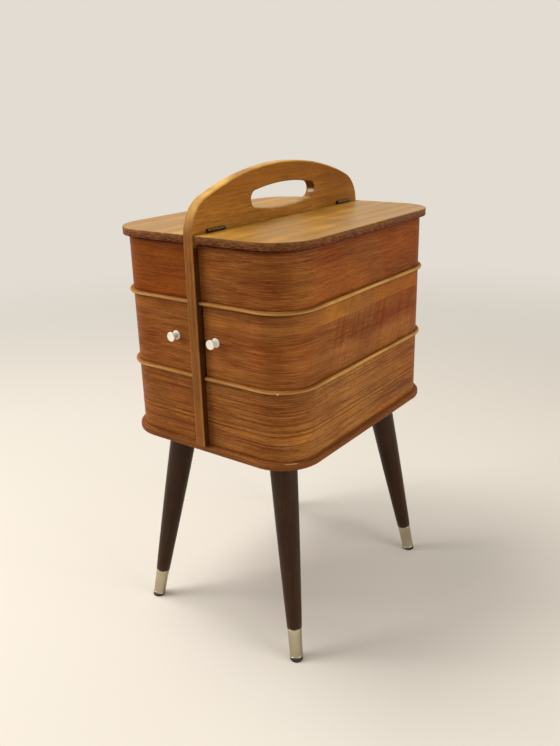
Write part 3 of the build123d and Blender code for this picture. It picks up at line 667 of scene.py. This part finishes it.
def archOutline(half, foot, crown):
    # The panel seen along x, from its rear foot up: straight side, shoulder arc, crown arc, shoulder
    # arc, straight side, bottom line. Each point has its way out, against which an inset moves it.
    crownR, shoulderR = panel["crownRadius"] * mm, panel["shoulderRadius"] * mm
    reach = half - shoulderR
    rise = math.sqrt((crownR - shoulderR) ** 2 - reach ** 2)
    springZ = crown - crownR + rise
    lean = math.atan2(rise, reach)
    climb = foot + (springZ - foot) * sideShares
    shoulder = np.linspace(0, lean, panel["shoulderSteps"] + 1)[1:]
    top = np.linspace(lean, math.pi - lean, panel["crownSteps"] + 1)[1:]
    bottom = np.linspace(-1, 1, panel["bottomSteps"] + 1)[1:-1]
    mirror = np.array([-1, 1])
    sideWay = np.stack([0 * climb + 1, 0 * climb], -1)
    arcWay = np.stack([np.cos(shoulder), np.sin(shoulder)], -1)
    topWay = np.stack([np.cos(top), np.sin(top)], -1)
    lineWay = np.stack([bottom, 0 * bottom], -1)
    side = np.stack([0 * climb + half, climb], -1)
    arc = np.array([reach, springZ]) + shoulderR * arcWay
    over = np.array([0, crown - crownR]) + crownR * topWay
    line = np.stack([half * bottom, 0 * bottom + foot], -1)
    point = np.concatenate([side, arc, over, arc[-2::-1] * mirror, side[::-1] * mirror, line])
    way = np.concatenate([sideWay, arcWay, topWay, arcWay[-2::-1] * mirror, sideWay[::-1] * mirror, lineWay])
    return point, way


def holeOutline(direction):
    # Oval of four arcs about its own middle, read at the given directions: two tight ends joined by a
    # shallow arc above and below. Each point has the way out into the wood.
    end = (panel["holeLength"] / 2 - panel["holeEndRadius"]) * mm
    half, tight = panel["holeHeight"] / 2 * mm, panel["holeEndRadius"] * mm
    shallow = (end ** 2 + half ** 2 - tight ** 2) / (2 * (half - tight))
    lean = math.atan2(shallow - half, end)
    arcs = ((-lean, lean, tight, end, 0), (lean, math.pi - lean, shallow, 0, half - shallow),
            (math.pi - lean, math.pi + lean, tight, -end, 0),
            (math.pi + lean, 2 * math.pi - lean, shallow, 0, shallow - half))
    count = panel["holeSamples"]
    turn = np.concatenate([np.linspace(start, stop, count, endpoint=False) for start, stop, *_ in arcs])
    radius, middleY, middleZ = (np.repeat([arc[k] for arc in arcs], count) for k in (2, 3, 4))
    wayY, wayZ = np.cos(turn), np.sin(turn)
    y, z = middleY + radius * wayY, middleZ + radius * wayZ
    seen = np.unwrap(np.arctan2(z, y))
    read = [np.interp(direction, seen, value, period=2 * math.pi) for value in (y, z, wayY, wayZ)]
    return np.stack(read[:2], -1), np.stack(read[2:], -1)


def centrePanel():
    # Rows run from the hole's wall over its rounding, across one side, round the outer edge and back
    # over the other side; columns run round the hole. A side is ruled from the hole to the outline.
    low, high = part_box("centre_panel")
    outline, way = archOutline(high.y, low.z, high.z)
    middle = np.array([0, high.z - panel["holeBelowCrown"] * mm])
    direction = np.arctan2(outline[:, 1] - middle[1], outline[:, 0] - middle[0])
    hole, holeWay = holeOutline(direction)
    hole = hole + middle
    arc = np.linspace(0, quarter, roundSteps)
    holeEase, ease, face = panel["holeEase"] * mm, panel["ease"] * mm, high.x
    flatRows = len(besideHole)
    holeOff = np.r_[0, holeEase * (1 - np.cos(arc)), holeEase + besideHole]
    holeX = np.r_[0, face - holeEase + holeEase * np.sin(arc), np.full(flatRows, face)]
    edgeOff = np.r_[ease + besideEdge, ease * (1 - np.cos(arc[::-1])), 0]
    edgeX = np.r_[np.full(flatRows, face), face - ease + ease * np.sin(arc[::-1]), 0]
    holeRows = hole[None] + holeOff[:, None, None] * holeWay[None]
    edgeRows = outline[None] - edgeOff[:, None, None] * way[None]
    # The rows that lie on a side also keep clear of the bottom line.
    edgeRows[:flatRows, :, 1] = np.maximum(edgeRows[:flatRows, :, 1], low.z + edgeOff[:flatRows, None])
    front = np.concatenate([holeRows, edgeRows])
    depth = np.r_[holeX, edgeX]
    flat = np.concatenate([front, front[-2:0:-1]])
    depth = np.r_[depth, -depth[-2:0:-1]]
    points = np.concatenate([np.broadcast_to(depth[:, None, None], flat.shape[:2] + (1,)), flat], -1)
    u = runLength(np.r_[outline, outline[:1]])
    byHole = np.r_[np.ones(len(holeX)), np.zeros(2 * len(edgeX) - 1), np.ones(len(holeX) - 1)]
    v = depth + byHole * panel["holeMap"] * mm
    v = np.r_[v, v[0]]
    roundRows = 1 + len(arc)
    edgeZone = np.zeros(len(front), int)
    edgeZone[:roundRows] = 1
    edgeZone[-roundRows:] = 1
    zones = np.r_[edgeZone, edgeZone[-2:0:-1]]
    arris = np.r_[panel["flatWear"], np.sin(2 * arc), 0 * besideHole]
    wearAndShade = np.r_[arris, arris[::-1]]
    wearAndShade = np.r_[wearAndShade, wearAndShade[-2:0:-1]][:, None]
    piece = gridPiece("arched_centre_panel", points, uvGrid(u, v), wearAndShade, [panelVeneer, panelEdge], zones,
                      True, True)
    standFor(piece, "centre_panel")


centrePanel()
print("centre panel cut")


# Legs with ferrules and glides

legs = {"footX": 131, "footY": 166, "topX": 86, "topY": 126, "underBase": 287, "topRadius": 19,
        "topEase": 1.5, "seat": 286.8, "shoulder": 0.4, "swell": 0.5,
        "segments": 48, "easeSteps": 6, "taperSteps": 26,
        "plugIn": 1, "plugDepth": 2,  # the end that sits inside the ferrule
        "clear": 0.05, "stepIn": 0.4, "stepRise": 0.5,  # gap above the ferrule, and the eased step there
        "footRub": 8, "seatRub": 4}  # reach of the wear at either end
ferrules = {"bottomRadius": 8.8, "topRadius": 9.8, "start": 5, "end": 46, "wall": 0.8,
            "bead": 0.35, "beadHalf": 0.6, "coneSteps": 6,
            "groove": (0.03, 1.5), "cone": (0.05, 2.5),  # radius added, and distance above the lower end
            "lip": (0.1, 0.4)}  # radius taken off, and distance below the upper end
glides = {"radius": 8.7, "lowEase": 0.8, "topGap": 0.2, "plug": 0.5, "plugIn": 1.2}

# Turned beech under a dark stain: near black-brown with a soft gloss, paler where the ends are rubbed.
legWood = sawnWood("stainedBeechTurned", {
    "turn": (0, 0, 90), "dark": "#29170a", "mid": "#35200e", "light": "#482f16", "pore": "#1a0e06",
    "rubAndShade": "#6a4a2a", "blush": "#2c1a0b", "rough": 0.36, "gloss": 0.14, "pores": (30, 0.5),
    "poreAmount": 0.3})

# Spun brass, nickel plated: a warm, slightly dulled mirror.
ferruleMetal = plainFinish("nickelPlatedBrassSpun", {
    "dark": "#aca188", "light": "#bfb59d", "mottle": 40, "rough": (0.16, 0.24), "metal": 1.0})

# Moulded black nylon: matt and dark, with a fine mottle.
glideNylon = plainFinish("blackNylonMoulded", {
    "dark": "#15130f", "light": "#24211c", "mottle": 3, "rough": (0.5, 0.65), "metal": 0.0})


def legLine(sideX, sideY):
    # A leg's foot on the floor, and the way from it to the top.
    foot = np.array([legs["footX"] * sideX, legs["footY"] * sideY, 0]) * mm
    top = np.array([legs["topX"] * sideX, legs["topY"] * sideY, legs["underBase"]]) * mm
    return foot, (top - foot) / np.linalg.norm(top - foot)


def legPiece(place, foot, axis):
    # A tapered profile: a plug in the ferrule, a small step, a straight taper plus a sine swell, and
    # an eased top. Wear fades with the distance from either end.
    arc = np.linspace(0, quarter, legs["easeSteps"])
    collar, seat = ferrules["end"], legs["seat"]
    ease, topR = legs["topEase"], legs["topRadius"]
    plug, lowR = ferrules["topRadius"] - legs["plugIn"], ferrules["topRadius"] + legs["shoulder"]
    sunk, clear = collar - legs["plugDepth"], collar + legs["clear"]
    up = np.linspace(0, 1, legs["taperSteps"])[1:-1]
    taper = lowR + (topR - lowR) * up + legs["swell"] * np.sin(math.pi * up)
    radius = np.r_[0, plug, plug, lowR - legs["stepIn"], lowR, taper, topR - ease + ease * np.cos(arc), 0]
    along = np.r_[sunk, sunk, clear, clear, collar + legs["stepRise"], collar + (seat - ease - collar) * up,
                  seat - ease + ease * np.sin(arc), seat]
    wearAndShade = np.exp(-np.abs(along - collar) / legs["footRub"]) + np.exp(-np.abs(seat - along) / legs["seatRub"])
    piece = turnedPiece("turned_leg_" + place, foot, axis, radius * mm, along * mm, legs["segments"], wearAndShade,
                        legWood, False)
    standFor(piece, "leg_" + place)


def ferrulePiece(place, foot, axis):
    # A thin sleeve: a half-round bead at its lower end, a groove, a straight cone and an eased lip.
    start, end, wall = ferrules["start"], ferrules["end"], ferrules["wall"]
    lowR, highR = ferrules["bottomRadius"], ferrules["topRadius"]
    (grooveR, grooveAt), (coneR, coneAt), (lipR, lipAt) = (ferrules[key] for key in ("groove", "cone", "lip"))
    bulge = np.linspace(0, math.pi, roundSteps)
    steps = ferrules["coneSteps"]
    radius = np.r_[lowR - wall, lowR + ferrules["bead"] * np.sin(bulge), lowR + grooveR,
                   np.linspace(lowR + coneR, highR, steps), highR - lipR, highR - wall]
    along = np.r_[start, start + ferrules["beadHalf"] * (1 - np.cos(bulge)), start + grooveAt,
                  np.linspace(start + coneAt, end - lipAt, steps), end, end]
    piece = turnedPiece("spun_ferrule_" + place, foot, axis, radius * mm, along * mm, legs["segments"],
                        0 * radius, ferruleMetal, True)
    standFor(piece, "ferrule_" + place)


def glidePiece(place, foot, axis):
    # A short plug on the leg's axis whose lower end is cut by the floor: each ring point slides along
    # the axis from the floor cut up to the ferrule.
    lip, start = glides["radius"], ferrules["start"]
    radius = np.array([0, lip - glides["lowEase"], lip, lip, lip - glides["plugIn"], 0]) * mm
    rise = np.array([0, 0, glides["lowEase"], start - glides["topGap"], start + glides["plug"],
                     start + glides["plug"]]) * mm
    points = lathePoints(foot, axis, radius, 0 * radius, legs["segments"])
    floorCut = -(points[..., 2] - foot[2]) / axis[2]
    top = start * mm
    share = np.clip(rise / top, 0, 1)[:, None]
    along = floorCut * (1 - share) + np.maximum(top, rise[:, None]) * share
    points = points + along[..., None] * axis
    u = np.linspace(0, 2 * math.pi, legs["segments"] + 1) * lip * mm
    piece = gridPiece("moulded_glide_" + place, points, uvGrid(u, rise), 0, [glideNylon], None, False, True)
    standFor(piece, "glide_" + place)


for sideY, row in ((-1, "front"), (1, "rear")):
    for half in halves:
        line = legLine(halves[half], sideY)
        legPiece(row + "_" + half, *line)
        ferrulePiece(row + "_" + half, *line)
        glidePiece(row + "_" + half, *line)
print("legs stood")


# Knobs

knobs = {"flange": 6.0, "flangeThick": 1.6, "flangeSide": 0.4, "neck": 4.0, "waistPower": 0.7, "head": 6.2,
         "headThick": 2.4, "round": 0.8, "segments": 48, "waistSteps": 15,
         "dimple": 0.4, "dimpleRings": (0.92, 0.6, 0.3, 0), "dimpleShares": (0.1, 0.6, 0.9, 1)}  # of its size

# Moulded cream urea plastic: nearly even colour with a clear gloss.
knobPlastic = plainFinish("creamUreaMoulded", {
    "dark": "#e9e0cd", "light": "#efe7d6", "mottle": 30, "rough": (0.22, 0.3), "metal": 0.0})


def knobPiece(half):
    # A spool turned about y: flange, waisted neck and round-edged head with a shallow dimple. The
    # waist draws in from a straight line by the power of a sine.
    low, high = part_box("knob_" + half)
    length = (high.y - low.y) / mm
    flange, neck, soft = knobs["flange"], knobs["neck"], knobs["round"]
    disc = knobs["head"] - soft
    turn = np.linspace(0, quarter, roundSteps)
    waist = np.linspace(0, 1, knobs["waistSteps"])
    start, end = knobs["flangeThick"], length - knobs["headThick"]
    ends = (flange - soft) * (1 - waist) + disc * waist
    sway = ends - (ends - neck) * np.sin(math.pi * waist) ** knobs["waistPower"]
    radius = np.r_[0, flange, flange, flange - soft + soft * np.cos(turn), sway[1:-1],
                   disc + soft * np.sin(turn), disc + soft * np.cos(turn),
                   disc * np.array(knobs["dimpleRings"])]
    along = np.r_[0, 0, knobs["flangeSide"], start - soft + soft * np.sin(turn),
                  start + (end - start) * waist[1:-1], end + soft * (1 - np.cos(turn)),
                  length - soft + soft * np.sin(turn),
                  length - knobs["dimple"] * np.array(knobs["dimpleShares"])]
    origin = ((low.x + high.x) / 2, high.y, (low.z + high.z) / 2)
    piece = turnedPiece("spool_knob_" + half, origin, (0, -1, 0), radius * mm, along * mm, knobs["segments"],
                        0 * radius, knobPlastic, False)
    standFor(piece, "knob_" + half)


for half in halves:
    knobPiece(half)
print("knobs turned")


# Finishes of the nodes that keep their own shape

# Pressed steel, bronzed: dark, with golden patches in a fine mottle that stand for painted glints.
hingeSteel = plainFinish("bronzedSteelPressed", {
    "dark": "#2b2015", "light": "#7d673c", "mottle": 3, "rough": (0.3, 0.5), "metal": 0.9})

# Pressed steel, zinc plated: a pale grey metal with a soft, cloudy shine.
zincSteel = plainFinish("zincPlatedSteelPressed", {
    "dark": "#8f908c", "light": "#b3b4af", "mottle": 7, "rough": (0.32, 0.48), "metal": 1.0})

# Planed beech: pale tan with short flecks.
beechBlock = sawnWood("beechBlockPlaned", {
    "grain": "object", "turn": (0, 90, 0), "dark": "#b98a56", "mid": "#c99d68", "light": "#d6b080",
    "pore": "#96673a", "pores": (4, 0.8), "blush": "#c0905c"})

# Plywood with teak faces, left unoiled inside: a duller brown.
innerPly = sawnWood("teakFacedPlyInner", {
    **boardGrain, "dark": "#6f3f1d", "mid": "#8f5728", "light": "#a86e38"})

nodeFinishes = {"hinge": hingeSteel, "corner_block": beechBlock, "inner_board": innerPly}
for name, node in frame["nodes"].items():
    if node.hide_render:
        continue
    finish = next((material for key, material in nodeFinishes.items() if key in name), zincSteel)
    node.data.materials.clear()
    node.data.materials.append(finish)
print("fittings finished")


# Floor, light and camera, in metres

stage = {"floor": "#dbd2c4", "floorRough": 0.9, "radius": 4.0, "rings": 9, "segments": 96, "fadeStart": 0.7,
         "fadeEnd": 2.6, "backdrop": "#e2dcd2", "evenLight": 0.48}


def floorDisc():
    # A round matt floor that fades into the backdrop: rings of growing radius about the origin.
    rings = np.linspace(0, stage["radius"], stage["rings"])
    points = lathePoints((0, 0, 0), (0, 0, 1), rings, 0 * rings, stage["segments"])
    material, tree, surface = newMaterial("paleFloorMatt")
    surface.inputs["Base Color"].default_value = linear(stage["floor"])
    surface.inputs["Roughness"].default_value = stage["floorRough"]
    place = add(tree, "TexCoord", out="Object")
    away = add(tree, "VectorMath", (place,), "Value", operation="LENGTH")
    fade = add(tree, "MapRange", (away, stage["fadeStart"], stage["fadeEnd"]), **smooth)
    clear = add(tree, "BsdfTransparent")
    mixed = add(tree, "MixShader", (fade, surface.outputs[0], clear))
    tree.links.new(mixed, tree.nodes["Material Output"].inputs[0])
    uv = np.zeros((stage["rings"], stage["segments"] + 1, 2))
    floor = gridPiece("pale_floor", points, uv, 0, [material], None, False, True)


def backdrop():
    # Soft even light from all round; the camera and mirror-like rays see the pale backdrop itself.
    world = bpy.data.worlds.new("paleBackdrop")
    world.use_nodes = True
    bpy.context.scene.world = world
    tree = world.node_tree
    light = tree.nodes["Background"]
    light.inputs[0].default_value = (1, 1, 1, 1)
    light.inputs[1].default_value = stage["evenLight"]
    rays = add(tree, "LightPath").node.outputs
    seen = rays["Is Camera Ray"]
    for ray in ("Is Glossy Ray", "Is Transmission Ray"):
        seen = add(tree, "Math", (seen, rays[ray]), operation="MAXIMUM")
    shown = add(tree, "Background", (linear(stage["backdrop"]), 1.0))
    both = add(tree, "MixShader", (seen, light.outputs[0], shown))
    tree.links.new(both, tree.nodes["World Output"].inputs[0])


lamps = {
    "overheadSoft": {"at": (-0.7, -0.3, 2.3), "size": 1.0, "watts": 32},
    "leftSoft": {"at": (-1.9, -1.7, 1.5), "size": 1.2, "watts": 38},
    "rightSoft": {"at": (2.0, 0.0, 0.9), "size": 1.2, "watts": 17},
}
lampAim = (0, 0, 0.4)


def lampPiece(name, look):
    # A square soft lamp at its place, turned to shine at the middle of the object.
    light = bpy.data.lights.new(name, "AREA")
    light.size = look["size"]
    light.energy = look["watts"]
    lamp = bpy.data.objects.new(name, light)
    lamp.location = look["at"]
    aim = Vector(lampAim) - Vector(look["at"])
    lamp.rotation_euler = aim.to_track_quat("-Z", "Y").to_euler()
    intoScene(lamp)


camera = {"at": (0.6270, -0.8566, 0.7211), "looks": (-0.5608, 0.7562, -0.3371), "near": 0.05,
          "roll": -1.45, "lens": 36.706, "sensor": 36}  # degrees, then millimetres


def photoCamera():
    # The camera's axes: ahead is the way it looks, and right and up are turned about it by roll.
    data = bpy.data.cameras.new("photoCamera")
    data.lens = camera["lens"]
    data.sensor_width = camera["sensor"]
    data.clip_start = camera["near"]
    view = bpy.data.objects.new("photoCamera", data)
    ahead = Vector(camera["looks"]).normalized()
    level = ahead.cross(Vector((0, 0, 1))).normalized()
    lift = level.cross(ahead)
    roll = math.radians(camera["roll"])
    right = level * math.cos(roll) + lift * math.sin(roll)
    up = lift * math.cos(roll) - level * math.sin(roll)
    turn = Matrix((right, up, -ahead)).transposed()
    view.matrix_world = Matrix.Translation(camera["at"]) @ turn.to_4x4()
    intoScene(view)
    bpy.context.scene.camera = view


floorDisc()
backdrop()
for name, look in lamps.items():
    lampPiece(name, look)
photoCamera()
bpy.context.scene.view_settings.view_transform = "Standard"
print("stage lit")
